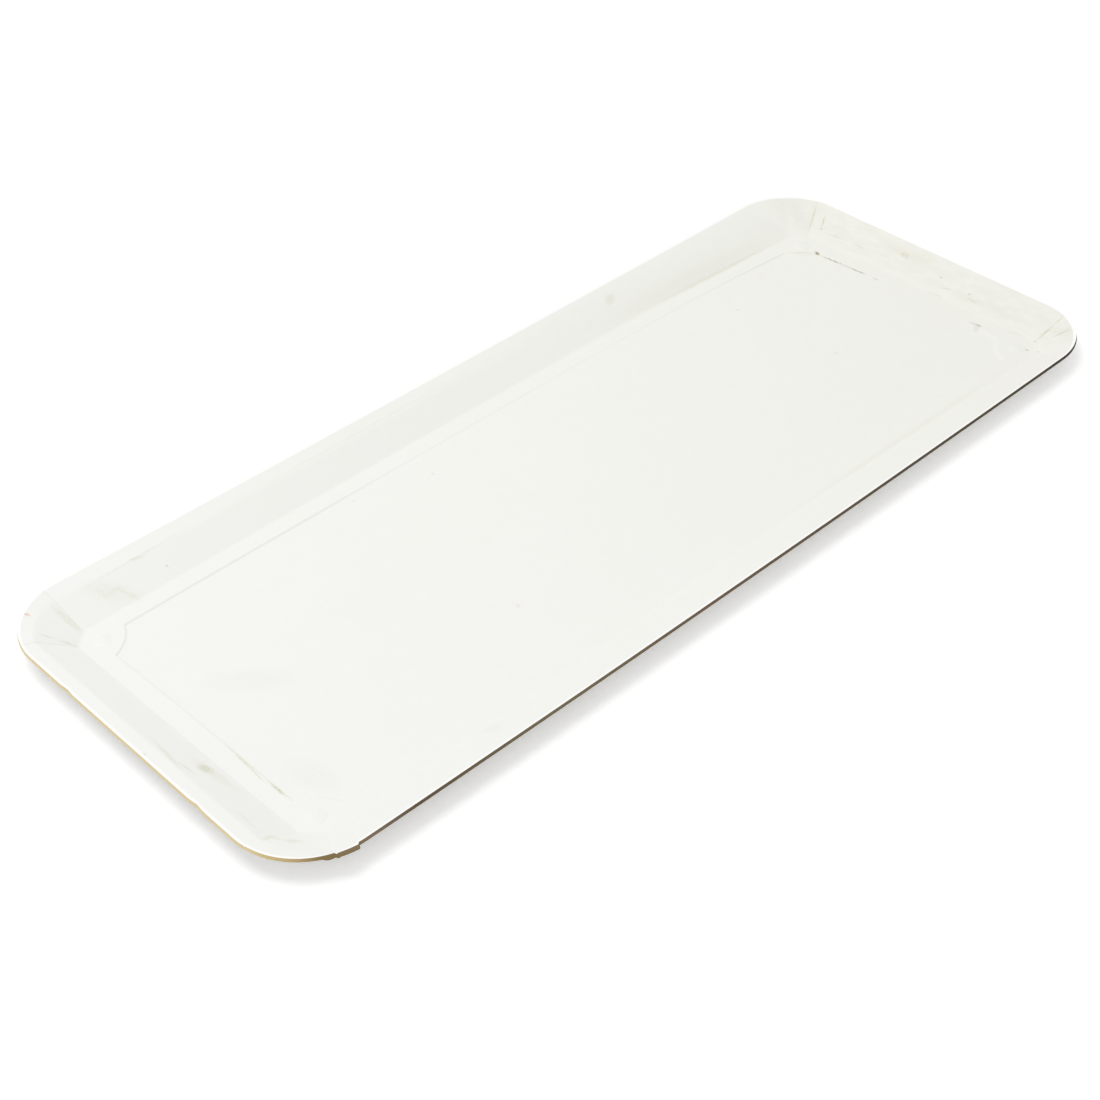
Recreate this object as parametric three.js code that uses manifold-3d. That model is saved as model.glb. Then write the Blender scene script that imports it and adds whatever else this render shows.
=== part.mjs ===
// Log cake tray: one sheet of coated board, die cut and pressed into a shallow tray.
// Millimetres, +Z up, +X along the tray, +Y towards its back long side.
// The origin is under the middle of the tray, on the surface that it rests on.

import * as THREE from 'three';
import { mergeVertices } from 'three/addons/utils/BufferGeometryUtils.js';
import Module from 'manifold-3d';

// Overall sizes
const trayLength = 340;
const trayWidth = 140;
const boardThickness = 1.05;

// Rim and wall, in plan and in height
const rimCornerRadius = 23.6;
const flangeWidth = 5.8;
const flangeRise = 1.6;
const wallRun = 9.7;
const wallRise = 4.9;
const bendSoftness = 1.1;
const foldSoftness = 0.35;
const backRimBow = -0.6;
const frontRimBow = 0.9;

// Base outline, and where the press left it on the cut sheet
const baseCornerCut = 4.6;
const pressShiftX = 0.5;
const pressShiftY = -2.3;
const backFoldBow = 0.9;
const frontFoldBow = -0.7;

// Sunken panel inside the raised border
const borderWidth = 5.5;
const panelDrop = 0.45;
const panelStepRun = 0.5;
const notchLeg = 9;
const notchBulge = 1.3;
const backPanelBow = 0.4;
const frontPanelBow = -0.25;

// Round pressed button at each corner of the border
const buttonRadius = 3;
const buttonRise = 0.4;
const buttonShoulder = 0.8;
const buttonCrown = 0.1;
const buttonInset = 6.4;
const buttonRoot = 0.35;

// Two pleats at each corner of the rim
const creaseTurn = THREE.MathUtils.degToRad(16.5);
const creaseHalfTurn = THREE.MathUtils.degToRad(0.9);
const pleatSpread = 0.35;
const foldedTabWidth = 6;
const foldedTabReach = 0.5;

// How high one layer laps over the other at each corner's creases: first at the crease beside the
// short side, then at the one beside the long side. A minus sign puts the corner underneath.
const pleatLaps = {
  rightBack: [-0.15, 0.15],
  leftBack: [0.25, 0.2],
  leftFront: [0.15, -0.45],
  rightFront: [-0.3, 0.2],
};

// How finely the outlines are cut up
const longSideSteps = 10;
const shortSideSteps = 4;
const flankSteps = 3;
const cornerSteps = 8;
const buttonSteps = 16;
const mergeTolerance = 1e-4;

const halfLength = trayLength / 2;
const halfWidth = trayWidth / 2;
const baseInset = flangeWidth + wallRun;
const borderTop = boardThickness + panelDrop;
const wallSlope = Math.atan2(wallRise, wallRun);
const flangeSlope = Math.atan2(flangeRise, flangeWidth);
const arcCentreX = halfLength - rimCornerRadius;
const arcCentreY = halfWidth - rimCornerRadius;

// Height of the board's face above the border, at a distance in from the rim's edge
function wallHeight(inset) {
  const bendHeight = borderTop + wallRise;
  if (inset < flangeWidth) return bendHeight + (flangeWidth - inset) * Math.tan(flangeSlope);
  if (inset < baseInset) return borderTop + (baseInset - inset) * Math.tan(wallSlope);
  return borderTop;
}

// One station of the section: a point of the upper face, and the slope of the board there
function station(inset, slope, form) {
  return { inset, slope, form, height: wallHeight(inset) };
}

const rimLean = boardThickness * Math.sin(flangeSlope);
const stations = [
  station(rimLean, flangeSlope, 'arc'),
  station(flangeWidth - bendSoftness, flangeSlope, 'fan'),
  station(flangeWidth + bendSoftness, wallSlope, 'fan'),
  station(baseInset - foldSoftness, wallSlope, 'cut'),
  station(baseInset + foldSoftness, 0, 'cut'),
];

// The same station on the lower face, one board's thickness away along the board's normal
function underStation(top) {
  const inset = top.inset - boardThickness * Math.sin(top.slope);
  const height = top.height - boardThickness * Math.cos(top.slope);
  return { ...top, inset, height };
}

function curvePoints(curve, steps) {
  return curve.getPoints(steps).slice(1);
}

function line(x0, y0, x1, y1) {
  return new THREE.LineCurve(new THREE.Vector2(x0, y0), new THREE.Vector2(x1, y1));
}

function rimArc(inset, from, to) {
  const radius = rimCornerRadius - inset;
  return new THREE.EllipseCurve(arcCentreX, arcCentreY, radius, radius, from, to, false);
}

// Where a ring crosses the two creases of the back right corner; each crease is straight in plan
function creaseEnds(ring) {
  const share = ring.inset / baseInset;
  const rimReach = rimCornerRadius * Math.sin(creaseTurn);
  const baseX = halfLength - baseInset - baseCornerCut;
  const baseY = halfWidth - baseInset - baseCornerCut;
  const creaseX = THREE.MathUtils.lerp(arcCentreX + rimReach, baseX, share);
  const creaseY = THREE.MathUtils.lerp(arcCentreY + rimReach, baseY, share);
  return {
    short: new THREE.Vector2(halfLength - ring.inset, creaseY),
    long: new THREE.Vector2(creaseX, halfWidth - ring.inset),
  };
}

// A quarter of the rim's own edge, from the middle of the short side to the middle of the long one
function arcQuarter(ring) {
  const flankTurn = creaseTurn - creaseHalfTurn;
  const innerTurn = creaseTurn + creaseHalfTurn;
  const right = Math.PI / 2;
  const x = halfLength - ring.inset;
  const y = halfWidth - ring.inset;
  return [
    new THREE.Vector2(x, 0),
    ...curvePoints(line(x, 0, x, arcCentreY), shortSideSteps),
    ...curvePoints(rimArc(ring.inset, 0, flankTurn), flankSteps),
    ...curvePoints(rimArc(ring.inset, flankTurn, innerTurn), 1),
    ...curvePoints(rimArc(ring.inset, innerTurn, right - innerTurn), cornerSteps),
    ...curvePoints(rimArc(ring.inset, right - innerTurn, right - flankTurn), 1),
    ...curvePoints(rimArc(ring.inset, right - flankTurn, right), flankSteps),
    ...curvePoints(line(arcCentreX, y, 0, y), longSideSteps),
  ];
}

// A quarter whose sides run straight to the creases, with a curve or a straight cut between them.
// The curve passes through the rim arc's own middle at that distance in.
function foldedQuarter(ring) {
  const { short, long } = creaseEnds(ring);
  const x = halfLength - ring.inset;
  const y = halfWidth - ring.inset;
  const mid = new THREE.Vector2().addVectors(short, long).multiplyScalar(0.5);
  if (ring.form === 'fan') {
    const reach = (rimCornerRadius - ring.inset) * Math.SQRT1_2;
    const crown = new THREE.Vector2(arcCentreX + reach, arcCentreY + reach);
    mid.multiplyScalar(-1).addScaledVector(crown, 2);
  }
  const bend = new THREE.QuadraticBezierCurve(short, mid, long);
  const narrow = creaseHalfTurn / (Math.PI / 2 - 2 * creaseTurn);
  const first = bend.getPoint(narrow);
  const last = bend.getPoint(1 - narrow);
  const corner = [];
  for (let i = 1; i < cornerSteps; i += 1) {
    corner.push(bend.getPoint(narrow + (1 - 2 * narrow) * i / cornerSteps));
  }
  return [
    new THREE.Vector2(x, 0),
    ...curvePoints(line(x, 0, x, arcCentreY), shortSideSteps),
    ...curvePoints(line(x, arcCentreY, short.x, short.y), flankSteps),
    first,
    ...corner,
    last,
    long,
    ...curvePoints(line(long.x, long.y, arcCentreX, y), flankSteps),
    ...curvePoints(line(arcCentreX, y, 0, y), longSideSteps),
  ];
}

// A quarter of the panel's outline: straight sides, and a notch that curves in around the button
function notchedQuarter(outset) {
  const x = halfLength - baseInset - borderWidth + outset;
  const y = halfWidth - baseInset - borderWidth + outset;
  const leg = notchLeg + outset * (2 - Math.SQRT2);
  const push = leg / 2 + notchBulge * Math.SQRT2;
  const notch = new THREE.QuadraticBezierCurve(
    new THREE.Vector2(x, y - leg),
    new THREE.Vector2(x - push, y - push),
    new THREE.Vector2(x - leg, y),
  );
  return [
    new THREE.Vector2(x, 0),
    ...curvePoints(line(x, 0, x, y - leg), shortSideSteps),
    ...curvePoints(notch, cornerSteps + 2 * flankSteps + 2),
    ...curvePoints(line(x - leg, y, 0, y), longSideSteps),
  ];
}

// Mirrors a quarter into the whole outline, counterclockwise from the middle of the right side
function wholeOutline(quarter) {
  const back = quarter.slice(0, -1);
  const left = quarter.slice(1).reverse().map((p) => new THREE.Vector2(-p.x, p.y));
  const front = back.map((p) => new THREE.Vector2(-p.x, -p.y));
  const right = quarter.slice(1).reverse().map((p) => new THREE.Vector2(p.x, -p.y));
  return [...back, ...left, ...front, ...right];
}

// How far a point of a long side is moved by its bow; a side with a positive bow curves outward
function sideBow(point, backBow, frontBow) {
  const straightHalf = halfLength - baseInset - baseCornerCut;
  const along = Math.min(1, Math.abs(point.x) / straightHalf);
  return (point.y > 0 ? backBow : -frontBow) * (1 - along * along);
}

// The press moved the base and the panel on the sheet, and left the rim and the long folds curved
function pressed(outline, share, backBow, frontBow) {
  return outline.map((p) => {
    const rimMove = sideBow(p, backRimBow, frontRimBow);
    const baseMove = pressShiftY + sideBow(p, backBow, frontBow);
    const moved = THREE.MathUtils.lerp(rimMove, baseMove, share);
    return new THREE.Vector2(p.x + pressShiftX * share, p.y + moved);
  });
}

// How far a ring has moved with the press: nothing at the rim, all of it at the base
function pressShare(inset) {
  return THREE.MathUtils.clamp((inset - flangeWidth + bendSoftness) / (wallRun + bendSoftness), 0, 1);
}

function cornerName(point) {
  const side = point.x > 0 ? 'right' : 'left';
  return side + (point.y > 0 ? 'Back' : 'Front');
}

// Height that a pleat adds at a point of the wall's corner: the layer on top stands proud at its crease
function pleatHeight(point, inset) {
  const x = Math.abs(point.x) - arcCentreX;
  const y = Math.abs(point.y) - arcCentreY;
  if (x <= 0 || y <= 0) return 0;
  const fade = 1 - THREE.MathUtils.smoothstep(inset, flangeWidth, baseInset);
  const turn = Math.atan2(y, x);
  const laps = pleatLaps[cornerName(point)];
  const turns = [turn - creaseTurn, Math.PI / 2 - creaseTurn - turn];
  let height = 0;
  for (let i = 0; i < turns.length; i += 1) {
    const near = Math.exp(-Math.abs(turns[i]) / pleatSpread);
    const onTop = laps[i] > 0 ? turns[i] >= 0 : turns[i] < 0;
    if (onTop) height += Math.abs(laps[i]) * near;
  }
  return height * fade;
}

// The folded tab beside the left front crease stands out past the rim's edge
function tabReach(point, inset) {
  const creaseX = arcCentreX + rimCornerRadius * Math.sin(creaseTurn);
  const x = -point.x;
  const onTab = point.y < 0 && x < creaseX && x > creaseX - foldedTabWidth;
  const fade = 1 - THREE.MathUtils.smoothstep(inset, 0, flangeWidth);
  return onTab ? foldedTabReach * fade : 0;
}

function wallRing(ring) {
  const quarter = ring.form === 'arc' ? arcQuarter(ring) : foldedQuarter(ring);
  const share = pressShare(ring.inset);
  return pressed(wholeOutline(quarter), share, backFoldBow, frontFoldBow).map((p) => {
    const height = ring.height + pleatHeight(p, ring.inset);
    return new THREE.Vector3(p.x, p.y - tabReach(p, ring.inset), height);
  });
}

function panelRing(outset, height) {
  const outline = pressed(wholeOutline(notchedQuarter(outset)), 1, backPanelBow, frontPanelBow);
  return outline.map((p) => new THREE.Vector3(p.x, p.y, height));
}

// The triangles between two rings with as many points, the outer ring first; up says which way they face
function band(outer, inner, up) {
  const corners = [];
  for (let i = 0; i < outer.length; i += 1) {
    const j = (i + 1) % outer.length;
    const faces = [outer[i], outer[j], inner[i], inner[i], outer[j], inner[j]];
    corners.push(...(up ? faces : faces.reverse()));
  }
  return corners;
}

// The flat middle of the panel, as triangles around its centre
function panelMiddle(ring, up) {
  const centre = new THREE.Vector3(pressShiftX, pressShiftY, ring[0].z);
  const inner = ring.map(() => centre);
  return band(ring, inner, up);
}

// One face of the sheet, upper or lower, from the rim's edge to the middle of the panel
function sheetFace(wallRings, panelTop, growth, up) {
  const stepTop = panelRing(growth, panelTop + panelDrop);
  const stepFoot = panelRing(growth - panelStepRun, panelTop);
  const rings = [...wallRings, stepTop, stepFoot];
  const bands = rings.slice(1).flatMap((ring, i) => band(rings[i], ring, up));
  return [...bands, ...panelMiddle(stepFoot, up)];
}

function sheetGeometry() {
  const upper = stations.map((s) => wallRing(s));
  const lower = stations.map((s) => wallRing(underStation(s)));
  const stepSlope = Math.atan2(panelDrop, panelStepRun);
  const underGrowth = boardThickness * Math.tan(stepSlope / 2);
  return new THREE.BufferGeometry().setFromPoints([
    ...sheetFace(upper, boardThickness, 0, true),
    ...sheetFace(lower, 0, underGrowth, false),
    ...band(lower[0], upper[0], true),
  ]);
}

// A button's solid: sunk a little into the board at its foot, with a sloping shoulder and a low crown
function buttonGeometry(centre, foot, radius) {
  const profile = [
    new THREE.Vector2(0, -buttonRoot),
    new THREE.Vector2(radius, -buttonRoot),
    new THREE.Vector2(radius, 0),
    new THREE.Vector2(radius - buttonShoulder, buttonRise),
    new THREE.Vector2(0, buttonRise + buttonCrown),
  ];
  const geometry = new THREE.LatheGeometry(profile, buttonSteps);
  geometry.rotateX(Math.PI / 2);
  geometry.translate(centre.x, centre.y, foot);
  return geometry;
}

function buttonCentres() {
  const x = halfLength - baseInset - buttonInset;
  const y = halfWidth - baseInset - buttonInset;
  const signs = [[1, 1], [-1, 1], [-1, -1], [1, -1]];
  return signs.map(([sx, sy]) => new THREE.Vector2(sx * x + pressShiftX, sy * y + pressShiftY));
}

const wasm = await Module();
wasm.setup();

// A closed solid from a geometry, with its shared corners merged
function solidOf(geometry) {
  geometry.deleteAttribute('normal');
  geometry.deleteAttribute('uv');
  const merged = mergeVertices(geometry, mergeTolerance);
  const triangles = [];
  for (let i = 0; i < merged.index.count; i += 3) {
    const [a, b, c] = [0, 1, 2].map((k) => merged.index.getX(i + k));
    if (a !== b && b !== c && c !== a) triangles.push(a, b, c);
  }
  return new wasm.Manifold(new wasm.Mesh({
    numProp: 3,
    vertProperties: new Float32Array(merged.attributes.position.array),
    triVerts: new Uint32Array(triangles),
  }));
}

function geometryOf(solid) {
  const mesh = solid.getMesh();
  const geometry = new THREE.BufferGeometry();
  geometry.setAttribute('position', new THREE.BufferAttribute(mesh.vertProperties, 3));
  geometry.setIndex(new THREE.BufferAttribute(mesh.triVerts, 1));
  geometry.computeVertexNormals();
  return geometry;
}

// Puts the origin under the middle of the tray's outline
function centred(geometry) {
  geometry.computeBoundingBox();
  const middle = geometry.boundingBox.getCenter(new THREE.Vector3());
  return geometry.translate(-middle.x, -middle.y, 0);
}

// The sheet with its buttons: each stands out of the upper face and leaves a hollow in the lower one
function buildTray() {
  let solid = solidOf(sheetGeometry());
  for (const centre of buttonCentres()) {
    solid = solid.add(solidOf(buttonGeometry(centre, borderTop, buttonRadius)));
    solid = solid.subtract(solidOf(buttonGeometry(centre, panelDrop, buttonRadius - buttonShoulder / 2)));
  }
  return centred(geometryOf(solid));
}

const coatedBoard = new THREE.MeshStandardMaterial({ color: 0xf1f1eb, roughness: 0.55, metalness: 0 });

const tray = new THREE.Mesh(buildTray(), coatedBoard);
tray.name = 'tray';

const logCakeTray = new THREE.Group();
logCakeTray.add(tray);

export default logCakeTray;
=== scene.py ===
import math

import bmesh
import bpy
import numpy as np
from mathutils import Matrix, Vector


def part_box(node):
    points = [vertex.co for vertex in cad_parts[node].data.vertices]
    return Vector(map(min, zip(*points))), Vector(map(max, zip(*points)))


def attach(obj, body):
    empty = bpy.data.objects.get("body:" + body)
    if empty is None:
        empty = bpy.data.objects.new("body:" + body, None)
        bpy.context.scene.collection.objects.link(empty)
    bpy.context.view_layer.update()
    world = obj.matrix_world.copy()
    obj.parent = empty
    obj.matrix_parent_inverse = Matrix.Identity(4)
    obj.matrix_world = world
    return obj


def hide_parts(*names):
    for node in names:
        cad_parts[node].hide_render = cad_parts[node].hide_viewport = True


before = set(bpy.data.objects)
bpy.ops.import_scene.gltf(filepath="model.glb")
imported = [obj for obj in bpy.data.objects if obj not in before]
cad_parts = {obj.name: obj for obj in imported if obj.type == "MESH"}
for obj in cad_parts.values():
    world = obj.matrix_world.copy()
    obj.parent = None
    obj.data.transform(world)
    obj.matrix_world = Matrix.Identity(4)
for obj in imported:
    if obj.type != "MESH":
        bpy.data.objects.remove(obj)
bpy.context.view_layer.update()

bl_info = {
    "name": "Pressed cake tray",
    "version": (1, 0, 0),
    "blender": (4, 5, 0),
    "location": "3D View > Sidebar > Cake Tray",
    "description": "Dresses a pressed board cake tray around its measured frame, with its stage",
    "category": "Object",
}

TRAY_LOW, TRAY_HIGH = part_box("tray")
MM = 0.001
WELD_DISTANCE = 0.002 * MM
SHARP_ANGLE = math.radians(50)


class TraySizes(bpy.types.PropertyGroup):
    """Sizes of the pressed sheet that its look depends on"""

    half_length: bpy.props.FloatProperty(
        name="Half length", description="Half the length of the tray",
        default=170 * MM, unit="LENGTH")
    half_width: bpy.props.FloatProperty(
        name="Half width", description="Half the width of the tray at the ends of its long sides",
        default=70 * MM, unit="LENGTH")
    board: bpy.props.FloatProperty(
        name="Board thickness", description="Thickness of the board",
        default=1.05 * MM, unit="LENGTH")
    corner_radius: bpy.props.FloatProperty(
        name="Rim corner radius", description="Radius of the rim's corners in plan",
        default=23.6 * MM, unit="LENGTH")
    flange_width: bpy.props.FloatProperty(
        name="Flange width", description="Width of the rim's flatter outer strip in plan",
        default=5.8 * MM, unit="LENGTH")
    flange_rise: bpy.props.FloatProperty(
        name="Flange rise", description="Height that the flange gains from its bend to its edge",
        default=1.6 * MM, unit="LENGTH")
    wall_run: bpy.props.FloatProperty(
        name="Wall run", description="Width of the sloping wall in plan",
        default=9.7 * MM, unit="LENGTH")
    wall_rise: bpy.props.FloatProperty(
        name="Wall rise", description="Height of the sloping wall",
        default=4.9 * MM, unit="LENGTH")
    corner_cut: bpy.props.FloatProperty(
        name="Base corner cut", description="Length that is cut from each side at the base's corners",
        default=4.6 * MM, unit="LENGTH")
    border_width: bpy.props.FloatProperty(
        name="Border width", description="Width of the raised border around the panel",
        default=5.5 * MM, unit="LENGTH")
    panel_drop: bpy.props.FloatProperty(
        name="Panel drop", description="Depth of the panel below its border",
        default=0.45 * MM, unit="LENGTH")
    step_run: bpy.props.FloatProperty(
        name="Step run", description="Width of the slope between border and panel in plan",
        default=0.5 * MM, unit="LENGTH")
    notch_leg: bpy.props.FloatProperty(
        name="Notch leg", description="Length that the notch takes from each side of the panel",
        default=9 * MM, unit="LENGTH")
    notch_bulge: bpy.props.FloatProperty(
        name="Notch bulge", description="How far the notch curves in from its straight chord",
        default=1.3 * MM, unit="LENGTH")
    rim_bows: bpy.props.FloatVectorProperty(
        name="Rim bows", description="How far the rim's back and front sides curve outward",
        default=(-0.6 * MM, 0.9 * MM), size=2, unit="LENGTH")
    fold_bows: bpy.props.FloatVectorProperty(
        name="Fold bows", description="How far the back and front folds curve outward",
        default=(0.9 * MM, -0.7 * MM), size=2, unit="LENGTH")
    panel_bows: bpy.props.FloatVectorProperty(
        name="Panel bows", description="How far the panel's back and front sides curve outward",
        default=(0.4 * MM, -0.25 * MM), size=2, unit="LENGTH")
    tab_width: bpy.props.FloatProperty(
        name="Tab width", description="Width of the folded tab beside the left front crease",
        default=6 * MM, unit="LENGTH")
    tab_reach: bpy.props.FloatProperty(
        name="Tab reach", description="How far the folded tab stands out past the rim",
        default=0.6 * MM, unit="LENGTH")
    button_radius: bpy.props.FloatProperty(
        name="Button radius", description="Radius of the pressed button at each corner",
        default=3 * MM, unit="LENGTH")
    button_rise: bpy.props.FloatProperty(
        name="Button rise", description="Height of the pressed button above the border",
        default=0.5 * MM, unit="LENGTH")
    button_inset: bpy.props.FloatProperty(
        name="Button inset", description="Distance of a button's centre in from the base outline",
        default=6.4 * MM, unit="LENGTH")
    press_shift: bpy.props.FloatVectorProperty(
        name="Press shift", description="How far off centre the press left the base and panel",
        default=(0.5 * MM, -2.3 * MM), size=2, subtype="XYZ", unit="LENGTH")


class BoardFinish(bpy.types.PropertyGroup):
    """Colours and grain of the board"""

    face: bpy.props.FloatVectorProperty(
        name="Coated face", description="Colour of the white coated face",
        default=(0.908, 0.914, 0.874), size=3, subtype="COLOR", min=0, max=1)
    # Painted shade: besides yellowing, the aged colour is a little darker, painting part of the light's
    # falloff towards the right
    aged_and_shaded_face: bpy.props.FloatVectorProperty(
        name="Aged face", description="Colour of the coated face where it has yellowed",
        default=(0.897, 0.891, 0.838), size=3, subtype="COLOR", min=0, max=1)
    roughness: bpy.props.FloatProperty(
        name="Roughness", description="Roughness of the coated face",
        default=0.5, subtype="FACTOR", min=0, max=1)
    bare_face: bpy.props.FloatVectorProperty(
        name="Bare face", description="Colour of the uncoated underside",
        default=(0.80, 0.79, 0.74), size=3, subtype="COLOR", min=0, max=1)
    bare_flecks: bpy.props.FloatVectorProperty(
        name="Bare flecks", description="Colour of the underside's darker fibres",
        default=(0.70, 0.68, 0.61), size=3, subtype="COLOR", min=0, max=1)
    # Painted highlight: the lip's brighter colour paints the light caught along the rim's edge
    lip: bpy.props.FloatVectorProperty(
        name="Lip", description="Colour of the coated face's last millimetre along the rim",
        default=(1, 1, 0.99), size=3, subtype="COLOR", min=0, max=1)


class StudioSettings(bpy.types.PropertyGroup):
    """Camera, lamp and floor"""

    camera_place: bpy.props.FloatVectorProperty(
        name="Camera place", description="Camera position",
        default=(-332.6 * MM, -345.34 * MM, 373.25 * MM), size=3, subtype="XYZ", unit="LENGTH")
    azimuth: bpy.props.FloatProperty(
        name="Azimuth", description="Direction that the camera looks in, clockwise from +Y",
        default=math.radians(42.312), subtype="ANGLE", unit="ROTATION")
    elevation: bpy.props.FloatProperty(
        name="Elevation", description="Angle that the camera looks down at",
        default=math.radians(39.827), subtype="ANGLE", unit="ROTATION")
    roll: bpy.props.FloatProperty(
        name="Roll", description="Turn of the camera about its own axis",
        default=math.radians(-2.016), subtype="ANGLE", unit="ROTATION")
    lens: bpy.props.FloatProperty(
        name="Lens", description="Focal length in millimetres on a 36 mm sensor",
        default=64.49, unit="CAMERA")
    key_power: bpy.props.FloatProperty(
        name="Key lamp", description="Power of the soft lamp above, in watts",
        default=4.0, unit="POWER")
    lamp_place: bpy.props.FloatVectorProperty(
        name="Lamp place", description="Position of the soft lamp, which points at the tray's middle",
        default=(-0.17, 0.30, 1.0), size=3, subtype="XYZ", unit="LENGTH")
    lamp_size: bpy.props.FloatProperty(
        name="Lamp size", description="Diameter of the soft lamp",
        default=0.8, unit="LENGTH")
    floor_reach: bpy.props.FloatProperty(
        name="Floor reach", description="How far the floor goes out from the tray's middle on each side",
        default=3, unit="LENGTH")
    ambient: bpy.props.FloatProperty(
        name="Ambient light", description="Strength of the even light all round",
        default=0.712, subtype="FACTOR", min=0, max=2)


class Corner:
    """A corner of the sheet, and what the press did there"""

    def __init__(self, side, kinks, pleats, laps, grooves, drift):
        self.side = np.array(side)
        self.grooves = grooves
        self.kinks = np.radians(kinks)
        self.pleats = np.radians(pleats)
        self.laps = np.array(laps) * MM
        self.drift = np.array(drift) * MM


# Kinks are the angles along the rim, from the short and the long side, where the bend turns.
# Pleats are the same for the folded layers. A lap below zero puts the corner underneath.
# Each groove is the depth and the width of a crease's valley in millimetres.
# The drift says how far the base corner lies off the place that the press was meant to give it.
CORNERS = (
    Corner((1, 1), (16.5, 4), (16.5, 41), (-0.15, 0), ((0.15, 0.3), (0.2, 1.8)), (0, -3.0)),
    Corner((-1, 1), (14.8, 12.4), (14.8, 12.4), (0.2, 0.16), ((0.1, 0.24), (0.13, 0.24)), (-1.0, -0.4)),
    Corner((-1, -1), (10.7, 20.7), (10.7, 20.7), (0.1, -0.25), ((0.07, 0.24), (0.18, 0.3)), (0.2, 0.2)),
    Corner((1, -1), (23.2, 5), (23.2, 47), (-0.15, 0.1), ((0.15, 0.3), (0.13, 0.3)), (-0.4, -0.8)),
)


class SheetPlan:
    """Outlines of the pressed sheet in plan, as key rings from the rim's edge to the panel's middle.

    Every ring has as many points as the others, so any point of the sheet is a mix of the rings.
    """

    # How many points each stretch of a quarter outline has
    short_steps = 30
    flank_steps = 16
    crease_steps = 6
    corner_steps = 50
    long_steps = 44
    crease_half_width = 0.4 * MM
    drift_reach = 35 * MM
    left_fold_bow = 0.6 * MM

    def __init__(self, sizes):
        self.sizes = sizes
        self.outer = np.array([sizes.half_length, sizes.half_width])
        self.centre = self.outer - sizes.corner_radius
        self.base_inset = sizes.flange_width + sizes.wall_run
        self.base = self.outer - self.base_inset
        self.straight_half = self.base[0] - sizes.corner_cut
        self.rise_y = TRAY_LOW[1] + sizes.half_width + sizes.rim_bows[1]

    def turns(self, corner):
        """Angles round a rim corner, close together at its two kinks"""
        half = self.crease_half_width / self.sizes.corner_radius
        right = math.pi / 2
        first, second = corner.kinks[0], right - corner.kinks[1]
        stops = [0, first - half, first + half, second - half, second + half, right]
        flank, crease = self.flank_steps, self.crease_steps
        counts = [flank, crease, self.corner_steps, crease, flank]
        runs = [np.linspace(a, b, n, endpoint=False) for a, b, n in zip(stops, stops[1:], counts)]
        return np.append(np.concatenate(runs), right)

    def quarter(self, side_x, side_y, corner):
        """A quarter outline: half a short side, the corner's points, and half a long side"""
        short = np.linspace(0, corner[0][1], self.short_steps + 1)[:-1]
        long = np.linspace(corner[-1][0], 0, self.long_steps + 1)[1:]
        first = np.stack([np.full_like(short, side_x), short], 1)
        last = np.stack([long, np.full_like(long, side_y)], 1)
        return np.concatenate([first, corner, last])

    def whole(self, make):
        """Joins the four quarters, counterclockwise from the middle of the right side"""
        parts = []
        for corner in CORNERS:
            quarter = make(corner) * corner.side
            same = corner.side[0] == corner.side[1]
            parts.append(quarter[:-1] if same else quarter[:0:-1])
        return np.concatenate(parts)

    def rim_points(self, inset, turns):
        radius = self.sizes.corner_radius - inset
        return self.centre + radius * np.stack([np.cos(turns), np.sin(turns)], -1)

    def rim(self, inset):
        x, y = self.outer - inset
        return self.whole(lambda corner: self.quarter(x, y, self.rim_points(inset, self.turns(corner))))

    def corner_columns(self):
        """For each point of a ring, the side of the corner that it belongs to, or zeros"""

        def quarter(corner):
            count = len(self.turns(corner))
            flags = np.zeros((self.short_steps + count + self.long_steps, 2))
            flags[self.short_steps:self.short_steps + count] = 1
            return flags

        return self.whole(quarter)

    def outward(self):
        """The direction out of the outline, for each point of a ring"""

        def quarter(corner):
            turns = self.turns(corner)
            around = np.stack([np.cos(turns), np.sin(turns)], 1)
            short = np.tile((1.0, 0.0), (self.short_steps, 1))
            long = np.tile((0.0, 1.0), (self.long_steps, 1))
            return np.concatenate([short, around, long])

        return self.whole(quarter)

    def crease_points(self, inset, short_turn, long_turn):
        """Where a ring crosses a corner's two creases, which are straight in plan"""
        share = inset / self.base_inset
        reach = self.sizes.corner_radius * np.sin((long_turn, short_turn))
        base = self.base - self.sizes.corner_cut
        x, y = (self.centre + reach) * (1 - share) + base * share
        return np.array([self.outer[0] - inset, y]), np.array([x, self.outer[1] - inset])

    def folded(self, inset, crowned):
        """A ring whose sides run straight to the kinks, with a curve or a cut between them"""
        return self.whole(lambda corner: self.folded_quarter(corner, inset, crowned))

    def folded_quarter(self, corner, inset, crowned):
        short, long = self.crease_points(inset, *corner.kinks)
        first, last = corner.kinks[0], math.pi / 2 - corner.kinks[1]
        turns = self.turns(corner)
        pull = (short + long) / 2
        if crowned:
            pull = 2 * self.rim_points(inset, (first + last) / 2) - pull
        between = np.clip((turns - first) / (last - first), 0, 1)[:, None]
        points = bezier(short, pull, long, between)
        x, y = self.centre
        before = y + (short[1] - y) * np.clip(turns / first, 0, 1)
        after = x + (long[0] - x) * np.clip((math.pi / 2 - turns) / corner.kinks[1], 0, 1)
        points[:, 1] = np.where(turns < first, before, points[:, 1])
        points[:, 0] = np.where(turns > last, after, points[:, 0])
        return self.quarter(short[0], long[1], points)

    def notched(self, outset):
        """The panel's outline: straight sides, and a notch that curves in around each button"""
        inset = self.base_inset + self.sizes.border_width - outset
        x, y = self.outer - inset
        leg = self.sizes.notch_leg + outset * (2 - math.sqrt(2))
        push = leg / 2 + self.sizes.notch_bulge * math.sqrt(2)
        start, pull, end = np.array([x, y - leg]), np.array([x - push, y - push]), np.array([x - leg, y])

        def quarter(corner):
            share = self.turns(corner)[:, None] / (math.pi / 2)
            return self.quarter(x, y, bezier(start, pull, end, share))

        return self.whole(quarter)

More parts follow.
